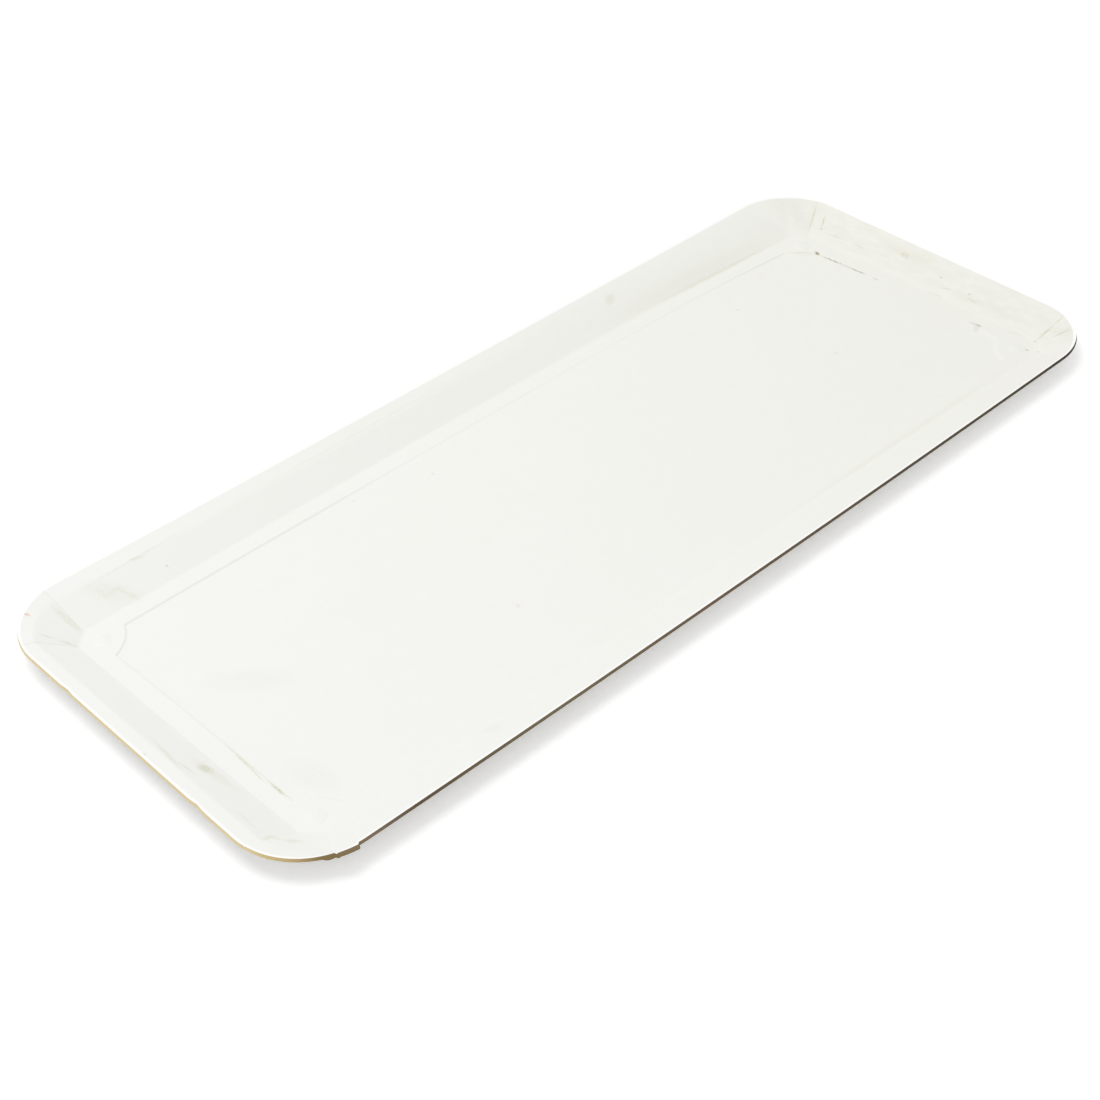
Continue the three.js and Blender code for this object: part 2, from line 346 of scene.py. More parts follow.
    def middle(self):
        """The line in the panel's middle that its rings close on"""
        ring = self.notched(0)
        half = self.base[0] - self.base[1]
        return np.stack([np.clip(ring[:, 0], -half, half), np.zeros(len(ring))], 1)

    def bow(self, points, bows):
        """How far the back and the front side curve outward, nothing at their ends"""
        along = np.minimum(1, np.abs(points[:, 0]) / self.straight_half)
        return np.where(points[:, 1] > 0, bows[0], -bows[1]) * (1 - along ** 2)

    def drift(self, points):
        """How far each base corner pulls the sheet around it off its place"""
        total = np.zeros_like(points)
        for corner in CORNERS:
            away = np.linalg.norm(points - self.base * corner.side, axis=1) / self.drift_reach
            total += corner.drift * np.exp(-away ** 2)[:, None]
        return total

    def pressed(self, points, share, bows=(0, 0), drift_share=0.0):
        """Points of the flat plan, moved and bowed as the press left them"""
        moved = points + np.array(self.sizes.press_shift) * share + self.drift(points) * drift_share
        bend = self.bow(points, self.sizes.rim_bows) * (1 - share) + self.bow(points, bows) * share
        return moved + np.stack([np.zeros_like(bend), bend + self.rise_y], 1)


def bezier(start, pull, end, share):
    return (1 - share) ** 2 * start + 2 * share * (1 - share) * pull + share ** 2 * end


def ease(low, high, value):
    """0 below low, 1 above high, and smooth between them"""
    t = np.clip((value - low) / (high - low), 0, 1)
    return t * t * (3 - 2 * t)


class SheetFace:
    """One face of the sheet, upper or lower: its key rings, and the stations between them"""

    # How many stations each flat and each bend of the section has, from the rim to the middle
    upper_steps = {"rim": 8, "bend": 11, "wall": 8, "fold": 5, "border": 24, "edge": 4, "step": 2,
                   "foot": 4, "panel": 9}
    lower_steps = {"rim": 4, "bend": 6, "wall": 4, "fold": 3, "border": 12, "edge": 3, "step": 1,
                   "foot": 3, "panel": 6}
    # How far each bend spreads to both sides, where it is a sharp line and where it is soft
    firm = {"bend": 0.6 * MM, "fold": 0.35 * MM, "edge": 0.2 * MM, "foot": 0.22 * MM}
    soft = {"bend": 4.2 * MM, "fold": 0.8 * MM, "edge": 0.2 * MM, "foot": 0.22 * MM}
    # How much of the way to the next line the bend at a line may take, before and after it
    widest, widest_at_rim = 0.45, 0.85
    broad_step_run = 1.2 * MM
    bend_lifts = {"left": 1.2 * MM, "right": -1.0 * MM, "front": -1.3 * MM, "back_end": 0.5 * MM}
    left_bend_reach = 1.2 * MM
    back_bend_reach = -0.5 * MM
    bend_share = 0.15
    bend_drift = 0.15
    fold_drift = 0.7
    lower_tab = 1.8
    # Each pair is where along the tray's length, or its width, a change begins and where it ends
    left_firm = (-165 * MM, -148 * MM)
    back_firm = (-20 * MM, 60 * MM)
    left_bend = (-165 * MM, -145 * MM)
    back_bend = (-40 * MM, 15 * MM)
    back_lift = (50 * MM, 110 * MM)
    broad_along = (10 * MM, 80 * MM)
    broad_across = (0, -30 * MM)
    # Places along the panel's long sides in millimetres, and how crisp its edge is there
    back_crispness = (
        (-70, 1), (-50, 0.7), (-30, 0.5), (10, 0.45), (50, 0.35), (110, 0.6), (130, 0.9), (142, 1))
    front_crispness = ((-142, 0.6), (-130, 0.15), (-70, 0.15), (0, 0.4), (60, 0.85), (142, 1))
    left_crispness, right_crispness = 0.85, 0.05
    crisp_reach = 22 * MM

    def __init__(self, plan, lower):
        s = plan.sizes
        self.plan = plan
        self.lower = lower
        self.steps = self.lower_steps if lower else self.upper_steps
        border_top = s.board + s.panel_drop
        flange_slope = math.atan2(s.flange_rise, s.flange_width)
        wall_slope = math.atan2(s.wall_rise, s.wall_run)
        step_slope = math.atan2(s.panel_drop, s.step_run)
        rim_top = border_top + s.wall_rise + s.flange_rise
        rim_inset = s.board * math.sin(flange_slope)
        slopes = [flange_slope, flange_slope, wall_slope, 0]
        bend_top = rim_top - s.flange_rise
        key = [(rim_inset, rim_top), (s.flange_width, bend_top), (plan.base_inset, border_top)]
        growth = 0.0
        panel_top = s.board
        if lower:
            key = [self.mitred(point, a, b) for point, a, b in zip(key, slopes, slopes[1:])]
            growth = s.board * math.tan(step_slope / 2)
            panel_top = 0.0
        self.insets = [inset for inset, _ in key]
        rim = plan.pressed(plan.rim(self.insets[0]), 0)
        bend = plan.folded(self.insets[1], True)
        bend = plan.pressed(bend, self.bend_share, s.fold_bows, self.bend_drift)
        fold = plan.pressed(plan.folded(self.insets[2], False), 1, s.fold_bows, self.fold_drift)
        edge, narrow_foot, broad_foot = [
            plan.pressed(plan.notched(growth - run), 1, s.panel_bows, 1)
            for run in (0, s.step_run, self.broad_step_run)]
        middle = plan.pressed(plan.middle(), 1)
        foot = narrow_foot + (broad_foot - narrow_foot) * self.breadth(edge)[:, None]
        rings = [rim, bend, fold, edge, foot, middle]
        heights = [h for _, h in key] + [panel_top + s.panel_drop, panel_top, panel_top]
        self.rings = np.array([np.column_stack([r, np.full(len(r), h)]) for r, h in zip(rings, heights)])
        self.rings[4, :, 2] += s.panel_drop * (1 - self.crispness(edge))
        self.firmness = self.find_firmness(rim)
        self.move_bend(rim, flange_slope)
        self.move_left_fold()

    def find_firmness(self, rim):
        """1 where the bend is a sharp line, on the left and the back's left half, and 0 elsewhere"""
        left = 1 - ease(*self.left_firm, rim[:, 0])
        back = (1 - ease(*self.back_firm, rim[:, 0])) * (rim[:, 1] > 0)
        return np.maximum(left, back)

    def move_bend(self, rim, slope):
        """The bend lies nearer to the edge on the left, and further in on the back's left half.

        It stands higher on the left, where the flange is nearly flat. On the right and the front it
        is lower, so that flange and wall make one slope.
        """
        left = 1 - ease(*self.left_bend, rim[:, 0])
        back = (1 - ease(*self.back_bend, rim[:, 0])) * (rim[:, 1] > 0) * (1 - left)
        reach = left * self.left_bend_reach + back * self.back_bend_reach
        self.rings[1, :, :2] += self.plan.outward() * reach[:, None]
        self.rings[1, :, 2] += reach * math.tan(slope)
        x_way, y_way = self.plan.outward().T
        shares = {
            "left": np.minimum(x_way, 0) ** 2,
            "right": np.maximum(x_way, 0) ** 2,
            "front": np.minimum(y_way, 0) ** 2,
            "back_end": np.maximum(y_way, 0) ** 2 * ease(*self.back_lift, rim[:, 0]),
        }
        for side, lift in self.bend_lifts.items():
            self.rings[1, :, 2] += lift * shares[side]

    def move_left_fold(self):
        """The fold at the left side bows outward"""
        fold, plan = self.rings[2], self.plan
        along = np.clip(1 - (fold[:, 1] / plan.base[1]) ** 2, 0, 1)
        fold[:, 0] -= np.where(fold[:, 0] < -plan.straight_half, plan.left_fold_bow * along, 0)

    def crispness(self, edge):
        """Share of the panel's drop that is pressed in at its edge; the rest comes further in"""
        x = edge[:, 0] / MM
        back = np.interp(x, *zip(*self.back_crispness))
        front = np.interp(x, *zip(*self.front_crispness))
        long = np.where(edge[:, 1] > 0, back, front)
        short = np.where(x < 0, self.left_crispness, self.right_crispness)
        on_short = np.abs(self.plan.outward()[:, 0]) > 0.99
        side = np.where(on_short, short, long)
        notches = edge[self.plan.corner_columns()[:, 0] != 0]
        gaps = np.linalg.norm(edge[:, None] - notches[None], axis=2).min(axis=1)
        return side + (1 - side) * ease(self.crisp_reach, 0, gaps)

    def breadth(self, edge):
        """1 where the step into the panel is broad, at the right front notch and before it"""
        corner_x, corner_y = self.plan.corner_columns().T
        beside = ease(*self.broad_along, edge[:, 0]) * ease(*self.broad_across, edge[:, 1])
        return np.where((corner_x > 0) & (corner_y < 0), 1, beside)

    def mitred(self, point, slope, next_slope):
        """A point of the lower face under a bend of the upper one, a board's thickness away"""
        inset, height = point
        mean, half = (slope + next_slope) / 2, (next_slope - slope) / 2
        reach = self.plan.sizes.board / math.cos(half)
        return inset - reach * math.sin(mean), height - reach * math.cos(mean)

    def station_weights(self, softness):
        """For each station of the section, how much of each key ring it takes"""
        unit = np.eye(len(self.rings))
        heights = self.rings[:, 0, 2]
        typical = [np.median(np.abs(ring[:, 1])) for ring in self.rings]
        section = list(zip(typical, heights))
        names = ["bend", "fold", "edge", "foot"]
        flats = ["rim", "wall", "border", "step"]
        stations = [unit[0]]
        for i, (name, flat) in enumerate(zip(names, flats), start=1):
            before = softness[name] / math.dist(section[i], section[i - 1])
            after = softness[name] / math.dist(section[i], section[i + 1])
            most = self.widest_at_rim if i == 1 else self.widest
            start = unit[i] + (unit[i - 1] - unit[i]) * min(most, before)
            end = unit[i] + (unit[i + 1] - unit[i]) * min(self.widest, after)
            self.run(stations, start, self.steps[flat])
            shares = np.arange(1, self.steps[name] + 1) / self.steps[name]
            stations.extend(bezier(start, unit[i], end, share) for share in shares)
        self.run(stations, unit[-1], self.steps["panel"])
        return np.array(stations)

    def run(self, stations, end, count):
        """Adds stations in equal steps from the last one to an end"""
        first = stations[-1]
        stations.extend(first + (end - first) * (i + 1) / count for i in range(count))

    def points(self):
        """All points of the face, station by station, and how far in from the rim each one lies"""
        firm, soft = self.station_weights(self.firm), self.station_weights(self.soft)
        share = self.firmness[:, None]
        flat = np.einsum("sr,rkc->skc", firm, self.rings) * share
        flat += np.einsum("sr,rkc->skc", soft, self.rings) * (1 - share)
        beyond = [self.plan.base_inset + 1 * MM] * (len(self.rings) - len(self.insets))
        insets = np.array(self.insets + beyond)
        inset = np.outer(firm @ insets, self.firmness) + np.outer(soft @ insets, 1 - self.firmness)
        relief = PressedRelief(self.plan)
        flat[:, :, 2] += relief.height(flat, inset)
        if self.lower:
            flat[:, :, 2] -= relief.curl(flat, inset)
        flat[:, :, 1] -= relief.tab(flat, inset) * (self.lower_tab if self.lower else 1)
        flat[:, :, :2] -= self.plan.outward() * relief.nicks(flat)[..., None]
        return np.clip(flat, TRAY_LOW, TRAY_HIGH), inset


class PressedRelief:
    """What the press and use left on the sheet: pleats, buttons, waves, the tab, its curl and nicks"""

    lap_edge = 0.16 * MM
    lap_reach = 5 * MM
    # Shares of a crease's length between which it fades out towards the fold
    crease_fade = (0.7, 1.05)
    tab_edge = 0.15 * MM
    curl_place = (-156.4 * MM, -67.9 * MM)
    curl_depth = 0.8 * MM
    curl_width = 1.6 * MM
    curl_inset = 2.5 * MM
    # A button's dent is a ring off its middle, whose radius and width are shares of the button's radius
    dent_place = (0.6 * MM, -0.5 * MM)
    dent_depth = 0.09 * MM
    dent_radius, dent_width = 0.33, 0.14
    wave_height = 0.035 * MM
    # Lengths of the waves over a full turn's radians: along, across, and aslant both ways
    wave_along, wave_across, wave_aslant = 41 * MM, 23 * MM, (17.3 * MM, 31 * MM)
    # Nicks of the rim in millimetres: place, how far in the edge is pushed, and half the width
    rim_nicks = (
        (-170, 28.8, 0.3, 1.8),
        (-170, -30.5, 0.35, 1.8),
        (-105.5, 70, 0.15, 3),
        (170, 32.7, 0.2, 3),
    )

    def __init__(self, plan):
        self.plan = plan

    def height(self, points, inset):
        x, y = points[..., 0], points[..., 1]
        return self.pleats(x, y) + self.buttons(x, y) + self.waves(x, y, inset)

    def crease_line(self, corner, index):
        """Where a pleat's crease starts on the rim and ends on the fold"""
        plan, s = self.plan, self.plan.sizes
        turn = corner.pleats[0] if index == 0 else math.pi / 2 - corner.pleats[1]
        rim = plan.rim_points(0, turn) * corner.side
        base = plan.crease_points(plan.base_inset, *corner.kinks)[index] * corner.side
        start = plan.pressed(rim[None, :], 0)[0]
        end = plan.pressed(base[None, :], 1, s.fold_bows, SheetFace.fold_drift)[0]
        return start, end

    def pleats(self, x, y):
        total = np.zeros_like(x)
        for corner in CORNERS:
            for index, (lap, (depth, width)) in enumerate(zip(corner.laps, corner.grooves)):
                start, end = self.crease_line(corner, index)
                length = np.linalg.norm(end - start)
                ahead = (end - start) / length
                side = np.array([-ahead[1], ahead[0]])
                toward = (self.plan.outer * corner.side - (start + end) / 2) @ side
                side = side * np.sign(toward)
                along = (x - start[0]) * ahead[0] + (y - start[1]) * ahead[1]
                off = (x - start[0]) * side[0] + (y - start[1]) * side[1]
                on_top = off if lap > 0 else -off
                raised = ease(-self.lap_edge, self.lap_edge, on_top)
                raised = raised * np.exp(-(np.maximum(on_top, 0) / self.lap_reach) ** 2)
                groove = depth * MM * np.exp(-(off / (width * MM)) ** 2)
                fade = 1 - ease(*self.crease_fade, along / length)
                near = np.abs(off) < 4 * self.lap_reach
                total += (abs(lap) * raised - groove) * fade * near
        return total

    def tab(self, points, inset):
        """How far the folded tab beside the left front crease stands out past the rim"""
        s, plan = self.plan.sizes, self.plan
        crease_x = plan.centre[0] + s.corner_radius * math.sin(CORNERS[2].pleats[1])
        past = crease_x + points[..., 0]
        edge = self.tab_edge
        band = ease(-edge, edge, past) * ease(-edge, edge, s.tab_width - past)
        fade = 1 - ease(0, s.flange_width, inset)
        return np.where(points[..., 1] < 0, s.tab_reach * band * fade, 0)

    def curl(self, points, inset):
        """How far the lower lip hangs down beside the tab's crease"""
        away = np.hypot(points[..., 0] - self.curl_place[0], points[..., 1] - self.curl_place[1])
        fade = 1 - ease(0, self.curl_inset, inset)
        return self.curl_depth * np.exp(-(away / self.curl_width) ** 4) * fade

    def nicks(self, points):
        """How far in the rim is pushed"""
        total = np.zeros(points.shape[:2])
        for x, y, depth, half in self.rim_nicks:
            away = np.hypot(points[..., 0] - x * MM, points[..., 1] - y * MM) / (half * MM)
            total += depth * MM * np.exp(-away ** 2)
        return total

    def buttons(self, x, y):
        """Low round domes, each with a small dent"""
        s, plan = self.plan.sizes, self.plan
        total = np.zeros_like(x)
        for corner in CORNERS:
            middle = (plan.base - s.button_inset) * corner.side
            cx, cy = plan.pressed(middle[None, :], 1, (0, 0), 1)[0]
            r = np.hypot(x - cx, y - cy) / s.button_radius
            dx, dy = self.dent_place
            dent = np.hypot(x - cx - dx, y - cy - dy) / s.button_radius
            ring = np.exp(-((dent - self.dent_radius) / self.dent_width) ** 2)
            total += s.button_rise * np.clip(1 - r ** 2, 0, 1)
            total -= self.dent_depth * ring * (r < 1)
        return total

    def waves(self, x, y, inset):
        """The wall and flange are never quite straight; the base stays flat"""
        free = 1 - ease(0, self.plan.base_inset, inset)
        along = np.sin(x / self.wave_along + 1.3)
        across = 0.7 * np.sin(y / self.wave_across - 0.4)
        aslant = 0.5 * np.sin(x / self.wave_aslant[0] - y / self.wave_aslant[1])
        return self.wave_height * (along + across + aslant) * free


class TrayMesh:
    """Joins the two faces and the cut edge between them into one closed mesh"""

    edge_steps = 4
    cut_edge_slot, under_face_slot = 1, 2

    def __init__(self, sizes):
        plan = SheetPlan(sizes)
        self.upper, self.upper_inset = SheetFace(plan, lower=False).points()
        self.lower, self.lower_inset = SheetFace(plan, lower=True).points()
        self.around = self.upper.shape[1]

    def cut_edge(self):
        """Rings between the lower and the upper face at the rim"""
        low, high = self.lower[0], self.upper[0]
        shares = np.arange(1, self.edge_steps) / self.edge_steps
        return np.array([low + (high - low) * share for share in shares])

    def build(self):
        """Points, their distances in from the rim, faces, and each face's place among the materials"""
        edge = self.cut_edge()
        rings = [*self.upper[::-1], *edge[::-1], *self.lower]
        insets = [*self.upper_inset[::-1], *(np.zeros(self.around) for _ in edge), *self.lower_inset]
        count, around = len(rings), self.around
        start = np.arange(count - 1)[:, None] * around
        i = np.arange(around)[None, :]
        j = (i + 1) % around
        quads = np.stack([start + i, start + around + i, start + around + j, start + j], -1)
        material = np.zeros((count - 1, around), int)
        first_edge = len(self.upper) - 1
        material[first_edge:first_edge + self.edge_steps] = self.cut_edge_slot
        material[first_edge + self.edge_steps:] = self.under_face_slot
        return np.concatenate(rings), np.concatenate(insets), quads.reshape(-1, 4), material.ravel()


def new_mesh(name, points, faces, materials, indices):
    mesh = bpy.data.meshes.new(name)
    mesh.from_pydata(points.tolist(), [], faces.tolist())
    for material in materials:
        mesh.materials.append(material)
    mesh.polygons.foreach_set("material_index", indices)
    mesh.polygons.foreach_set("use_smooth", np.ones(len(faces), bool))
    mesh.update()
    thing = bpy.data.objects.new(name, mesh)
    bpy.context.scene.collection.objects.link(thing)
    return thing


def weld(thing, distance):
    """Merges points that lie on each other, and drops the faces that this leaves without area"""
    shape = bmesh.new()
    shape.from_mesh(thing.data)
    bmesh.ops.remove_doubles(shape, verts=shape.verts, dist=distance)
    bmesh.ops.dissolve_degenerate(shape, edges=shape.edges, dist=distance / 10)
    bmesh.ops.recalc_face_normals(shape, faces=shape.faces)
    shape.to_mesh(thing.data)
    shape.free()
    thing.data.set_sharp_from_angle(angle=SHARP_ANGLE)


class Wire:
    """A value between shader nodes, so that shader maths reads as plain Python"""

    def __init__(self, graph, socket):
        self.graph = graph
        self.socket = socket

    def math(self, operation, *values):
        return self.graph.node("ShaderNodeMath", {"operation": operation}, values)

    def __add__(self, other):
        return self.math("ADD", self, other)

    def __radd__(self, other):
        return self.math("ADD", other, self)

    def __sub__(self, other):
        return self.math("SUBTRACT", self, other)

    def __mul__(self, other):
        return self.math("MULTIPLY", self, other)

    def __rmul__(self, other):
        return self.math("MULTIPLY", other, self)

    def __truediv__(self, other):
        return self.math("DIVIDE", self, other)

    def clamped(self):
        return self.graph.node("ShaderNodeClamp", {}, [self, 0.0, 1.0])

    def eased(self, low, high):
        """0 below low, 1 above high, and smooth between them"""
        settings = {"interpolation_type": "SMOOTHSTEP"}
        return self.graph.node("ShaderNodeMapRange", settings, [self, low, high, 0.0, 1.0])


class Graph:
    """A material's node tree"""

    def __init__(self, name):
        self.material = bpy.data.materials.new(name)
        self.material.use_nodes = True
        self.tree = self.material.node_tree
        self.tree.nodes.clear()

    def node(self, kind, settings, values=(), output=0):
        """Adds a node, sets it, fills its sockets in order or by name, and gives one output"""
        node = self.tree.nodes.new(kind)
        for name, setting in settings.items():
            if name == "stops":
                self.set_stops(node.color_ramp, setting)
            else:
                setattr(node, name, setting)
        pairs = values.items() if isinstance(values, dict) else enumerate(values)
        for key, value in pairs:
            if isinstance(value, Wire):
                self.tree.links.new(value.socket, node.inputs[key])
            else:
                node.inputs[key].default_value = value
        return Wire(self, node.outputs[output])

    def set_stops(self, ramp, stops):
        while len(ramp.elements) < len(stops):
            ramp.elements.new(1.0)
        for element, (place, colour) in zip(ramp.elements, stops):
            element.position = place
            element.color = colour

    def place(self):
        """Where a point lies on the object, in metres"""
        return self.node("ShaderNodeTexCoord", {}, output="Object")

    def axis(self, vector, name):
        return self.node("ShaderNodeSeparateXYZ", {}, [vector], output=name)

    def noise(self, place, size, detail=3.0, roughness=0.5, stretch=(1, 1, 1)):
        """Cloudy noise from 0 to 1, whose lumps are about as wide as size"""
        scaled = self.node("ShaderNodeVectorMath", {"operation": "MULTIPLY"}, [place, stretch])
        values = {"Vector": scaled, "Scale": 1 / size, "Detail": detail, "Roughness": roughness}
        return self.node("ShaderNodeTexNoise", {}, values, output="Fac")

    def mix(self, share, first, second, blend="MIX"):
        settings = {"data_type": "RGBA", "blend_type": blend}
        return self.node("ShaderNodeMix", settings, {0: share, 6: first, 7: second}, output=2)

    def finish(self, values):
        """Puts a Principled surface on the material, and gives the material"""
        return self.surfaced(self.node("ShaderNodeBsdfPrincipled", {}, values))

    def surfaced(self, surface):
        output = self.tree.nodes.new("ShaderNodeOutputMaterial")
        self.tree.links.new(surface.socket, output.inputs["Surface"])
        return self.material


def rgba(colour):
    return (*colour, 1.0)


# Marks on the coated face in millimetres: start, end, half width, and strength from 0 to 1.
# Their number is kept under 73, because Cycles draws the face black when its shader gets too big.
OLIVE_MARKS = (
    ((-163.3, -0.5), (-164.9, -18.7), 0.9, 0.35),
    ((-158.5, -17.4), (-158.6, -18.8), 2.6, 0.55),
    ((-159.1, -12.1), (-156.9, -29.0), 2.5, 0.22),
    ((-163.6, -12.8), (-162.7, -20.6), 0.4, 0.6),
    ((-168.7, -6.0), (-168.7, -6.8), 0.5, 0.5),
    ((-164.5, -51.7), (-161.4, -50.6), 1.1, 0.36),
    ((-161.4, -50.6), (-160.9, -52.7), 1.1, 0.3),
    ((-160.3, -53.4), (-156.5, -56.3), 1.5, 0.34),
    ((-162.8, -35.8), (-163.2, -49.0), 0.6, 0.2),
    ((-148.4, -10.0), (-148.5, -30.0), 0.5, 0.35),
    ((-148.5, -30.0), (-148.6, -40.0), 0.6, 0.6),
    ((-148.5, -34.0), (-148.6, -38.5), 0.8, 0.4),
    ((-148.5, -13.8), (-149.5, -34.3), 0.4, 0.55),
    ((-138.9, 61.0), (-138.4, 58.1), 1.1, 0.18),
    ((-138.4, 58.1), (-133.8, 58.7), 1.1, 0.18),
    ((-133.8, 58.7), (-133.2, 56.8), 1.0, 0.18),
    ((-133.2, 56.8), (-131.2, 53.1), 1.1, 0.22),
    ((-141.0, 63.1), (-131.0, 53.4), 4.5, 0.14),
    ((-126.2, 64.1), (-120.9, 62.9), 0.8, 0.25),
    # Dirt with painted shade: dark lines along the left back corner's two creases
    ((-153.2, 63.5), (-150.6, 51.4), 1.6, 0.33),
    ((-154.8, 47.7), (-159.0, 51.6), 0.8, 0.4),
    ((-159.0, 51.6), (-162.3, 54.7), 0.5, 0.5),
    ((165.5, 46.8), (159.5, 43.8), 0.45, 0.7),
    ((158.7, 42.6), (160.0, 30.7), 0.4, 0.4),
    ((160.0, 30.7), (159.5, 22.9), 0.4, 0.45),
    ((163.8, 10.4), (163.8, 7.8), 1.5, 0.45),
    ((158.6, -11.1), (159.8, -14.8), 0.45, 0.5),
    ((155.2, -7.0), (155.7, -14.7), 0.4, 0.4),
    ((159.2, -20.8), (159.2, -26.2), 0.4, 0.35),
    # Dirt with painted shade: dark lines along the right front corner's short crease
    ((155.8, -52.9), (163.6, -54.2), 0.5, 0.85),
    ((163.6, -54.2), (167.5, -55.0), 0.4, 0.6),
    ((158.1, -57.4), (162.6, -61.0), 0.5, 0.75),
    # Dirt with painted shade: a dark line along the right back corner's short crease
    ((167.5, 52.6), (156.5, 47.0), 0.6, 0.5),
    # Painted shade with dirt: the back wall darkened near its fold at the right end, and a dark line along
    # that fold
    ((60.0, 56.5), (152.0, 53.5), 5.0, 0.13),
    ((80.0, 54.0), (151.5, 50.9), 1.0, 0.3),
    ((140.8, 44.4), (148.5, 36.2), 0.7, 0.5),
    # Painted shadow: a soft dark line along the front fold's right half
    ((20.0, -54.3), (149.3, -55.4), 1.3, 0.14),
    # Painted shade: a faint dark line along the back bend, from the left to the middle
    ((-105.0, 64.2), (25.0, 64.9), 0.6, 0.12),
    ((69.4, 62.2), (72.4, 63.6), 2.3, 0.34),
    ((154.8, -41.1), (155.2, -50.0), 0.9, 0.18),
    ((159.0, -18.0), (160.5, -44.0), 2.2, 0.12),
    ((165.0, 20.0), (164.0, -5.0), 2.2, 0.12),
)
BROWN_MARKS = (
    ((-126.4, 70.0), (-123.3, 70.0), 0.4, 0.4),
    ((-108.8, 70.0), (-105.3, 70.0), 0.4, 0.5),
    ((148.6, 36.8), (148.6, 35.5), 0.8, 1.0),
    ((148.6, 36.1), (149.0, 25.0), 0.45, 0.5),
    ((148.9, 21.2), (149.5, 14.0), 0.5, 0.55),
    ((149.2, 11.5), (149.6, 8.7), 0.5, 0.4),
    ((148.7, 36.0), (149.4, 12.0), 0.6, 0.3),
    ((150.1, -28.8), (150.9, -35.8), 0.45, 0.35),
    ((150.5, -32.6), (150.5, -33.8), 0.9, 0.4),
    ((149.6, -33.0), (147.9, -34.2), 1.4, 0.18),
    ((149.8, -53.2), (149.8, -54.0), 0.7, 0.4),
)
GREY_MARKS = (
    # Painted shade: a dark line along the back bend's left part
    ((-148.8, 63.3), (-100.2, 64.2), 0.6, 0.2),
    ((-117.8, 57.5), (-117.8, 56.9), 0.5, 0.9),
    ((159.5, 44.2), (159.5, 43.4), 0.6, 0.8),
    ((161.9, -8.0), (161.9, -8.6), 0.6, 0.9),
    ((160.9, -21.2), (160.9, -21.8), 0.6, 0.8),
    ((155.2, -52.5), (155.2, -53.1), 0.6, 0.8),
    ((151.0, -56.6), (151.0, -57.2), 0.6, 0.6),
    ((-58.1, 44.6), (-58.1, 44.0), 0.5, 0.5),
    ((-32.3, 37.5), (-32.3, 36.9), 0.5, 0.5),
    ((105.2, -8.8), (105.2, -9.4), 0.5, 0.6),
    ((102.0, 32.1), (102.0, 31.5), 0.5, 0.5),
    ((-136.9, 10.4), (-120.2, -4.1), 6.0, 0.1),
    ((-140.9, -30.7), (-137.2, -42.5), 6.0, 0.1),
    ((-96.0, -59.4), (-94.0, -59.8), 3.0, 0.12),
)
RED_MARKS = (
    ((-161.2, 64.6), (-160.3, 62.6), 0.65, 1.0),
    ((-55.8, -26.5), (-55.8, -27.3), 0.9, 0.25),
)
# The olive marks hold dirt, and also painted shade along some corner creases, the folds and the back bend;
# the grey marks hold specks, smudges and painted shade along the back bend
MARK_KINDS = (
    (OLIVE_MARKS, (0.76, 0.75, 0.60)),
    (BROWN_MARKS, (0.46, 0.40, 0.30)),
    (GREY_MARKS, (0.74, 0.74, 0.72)),
    (RED_MARKS, (0.95, 0.62, 0.58)),
)


def mark_cover(g, place, marks):
    """How much of a point is covered by a group of long thin marks.

    The place is moved on from mark to mark, so that only a few values are in use at a time.
    """
    cover = None
    before = Vector((0, 0))
    for (x0, y0), (x1, y1), half, strength in marks:
        reach = math.hypot(x1 - x0, y1 - y0) / 2 + half
        middle = Vector(((x0 + x1) / 2 * MM, (y0 + y1) / 2 * MM))
        step = (*(middle - before), 0)
        place = g.node("ShaderNodeVectorMath", {"operation": "SUBTRACT"}, [place, step])
        before = middle
        values = {
            "Vector": place,
            "Rotation": (0, 0, math.atan2(y1 - y0, x1 - x0)),
            "Scale": (reach * MM, half * MM, 1),
        }
        local = g.node("ShaderNodeMapping", {"vector_type": "TEXTURE"}, values)
        away = g.node("ShaderNodeVectorMath", {"operation": "LENGTH"}, [local], output="Value")
        settings = {"interpolation_type": "SMOOTHSTEP"}
        one = g.node("ShaderNodeMapRange", settings, [away, 1.0, 0.25, 0.0, strength])
        cover = one if cover is None else cover + one
    return cover


def marked(g, place, colour):
    """Lays the four kinds of marks over a colour, their edges broken up by noise"""
    values = {"Vector": place, "Scale": 1 / (1.4 * MM), "Detail": 3}
    cloud = g.node("ShaderNodeTexNoise", {}, values, output="Color")
    offset = g.node("ShaderNodeVectorMath", {"operation": "SUBTRACT"}, [cloud, (0.5, 0.5, 0.5)])
    spread = g.node("ShaderNodeVectorMath", {"operation": "SCALE"}, {"Vector": offset, "Scale": 0.9 * MM})
    rough_place = g.node("ShaderNodeVectorMath", {"operation": "ADD"}, [place, spread])
    broken = g.noise(place, 0.6 * MM, 4.0, 0.6).eased(0.3, 0.62)
    for marks, tint in MARK_KINDS:
        cover = (mark_cover(g, rough_place, marks) * (0.45 + 0.75 * broken)).clamped()
        # Marks darken the colour: stains, and painted shade where they lie along creases, folds and the
        # back bend
        stain_and_shade = g.mix(1.0, colour, rgba(tint), "MULTIPLY")
        colour = g.mix(cover, colour, stain_and_shade)
    return colour


